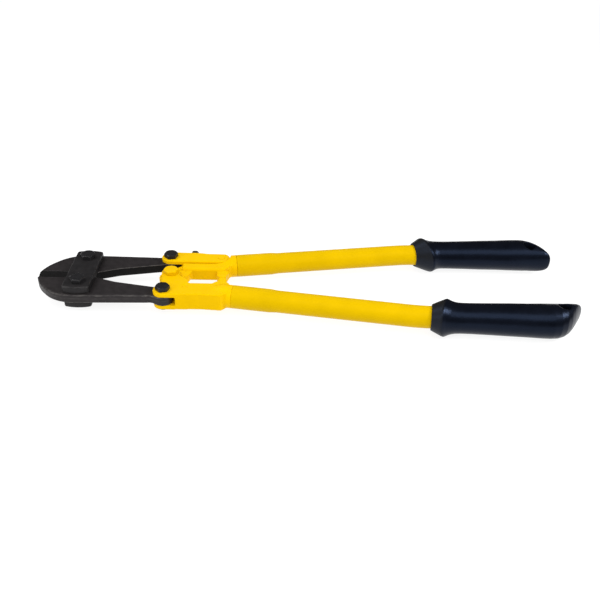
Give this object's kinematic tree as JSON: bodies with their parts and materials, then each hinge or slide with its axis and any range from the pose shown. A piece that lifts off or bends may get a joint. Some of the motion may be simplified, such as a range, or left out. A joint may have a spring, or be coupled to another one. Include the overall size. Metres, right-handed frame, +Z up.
{
  "type": "bolt cutters",
  "caption": "Compound-lever bolt cutters with centre-cut jaws, link plates, forked handle heads, bent tube handles and moulded grips.",
  "frame": {"origin": "on the surface the tool rests on, below the middle of its overall length and width", "axes": "+X along the tool from the jaws to the grips, +Y across it towards the handle with the adjusting arm, +Z up out of the plane the tool folds in"},
  "size_m": [0.6116, 0.1826, 0.042],
  "materials": {
    "jaw_steel": "black oxide on drop-forged steel, worn bright on the edges",
    "plate_steel": "black oxide on pressed plate",
    "black_fasteners": "black oxide, lightly oiled",
    "painted_fasteners": "yellow enamel over steel",
    "painted_castings": "yellow enamel over a cast surface",
    "painted_tubes": "smooth glossy yellow enamel",
    "vinyl_grips": "glossy blue-black moulded vinyl"
  },
  "bodies": {
    "link": {"top_link_plate": "plate_steel", "bottom_link_plate": "plate_steel", "link_bolts": "black_fasteners", "link_nuts": "black_fasteners"},
    "upper_jaw_body": {"upper_jaw": "jaw_steel"},
    "lower_jaw_body": {"lower_jaw": "jaw_steel"},
    "upper_handle": {"upper_casting": "painted_castings", "adjusting_arm": "painted_castings", "arm_pin": "painted_fasteners", "adjusting_screw": "black_fasteners", "adjusting_nut": "black_fasteners", "lock_screw": "black_fasteners", "upper_tail_bolt": "black_fasteners", "upper_tail_nut": "black_fasteners", "upper_tube": "painted_tubes", "upper_grip": "vinyl_grips"},
    "lower_handle": {"lower_casting": "painted_castings", "lower_tail_bolt": "black_fasteners", "lower_tail_nut": "black_fasteners", "centre_bolt": "painted_fasteners", "centre_nut": "painted_fasteners", "lower_tube": "painted_tubes", "lower_grip": "vinyl_grips"}
  },
  "joints": [
    {"name": "upper_handle_fold", "type": "hinge", "parent": "upper_jaw_body", "child": "upper_handle", "pos_m": [-0.15771, 0.0359, 0.021], "axis": [0, 0, 1], "range_deg": [0, 52]},
    {"name": "lower_handle_fold", "type": "hinge", "parent": "lower_jaw_body", "child": "lower_handle", "pos_m": [-0.15771, -0.0359, 0.021], "axis": [0, 0, 1], "range_deg": [-52, 0]},
    {"name": "upper_jaw_pivot", "type": "hinge", "parent": "link", "child": "upper_jaw_body", "pos_m": [-0.25311, 0.0258, 0.021], "axis": [0, 0, 1], "range_deg": [-7.3, 0]},
    {"name": "lower_jaw_pivot", "type": "hinge", "parent": "link", "child": "lower_jaw_body", "pos_m": [-0.25311, -0.0258, 0.021], "axis": [0, 0, 1], "range_deg": [0, 7.3]}
  ],
  "couplings": [
    {"joint": "lower_handle_fold", "follows": "upper_handle_fold", "ratio": -1},
    {"joint": "upper_jaw_pivot", "follows": "upper_handle_fold", "ratio": -0.13867},
    {"joint": "lower_jaw_pivot", "follows": "upper_handle_fold", "ratio": 0.13867}
  ]
}
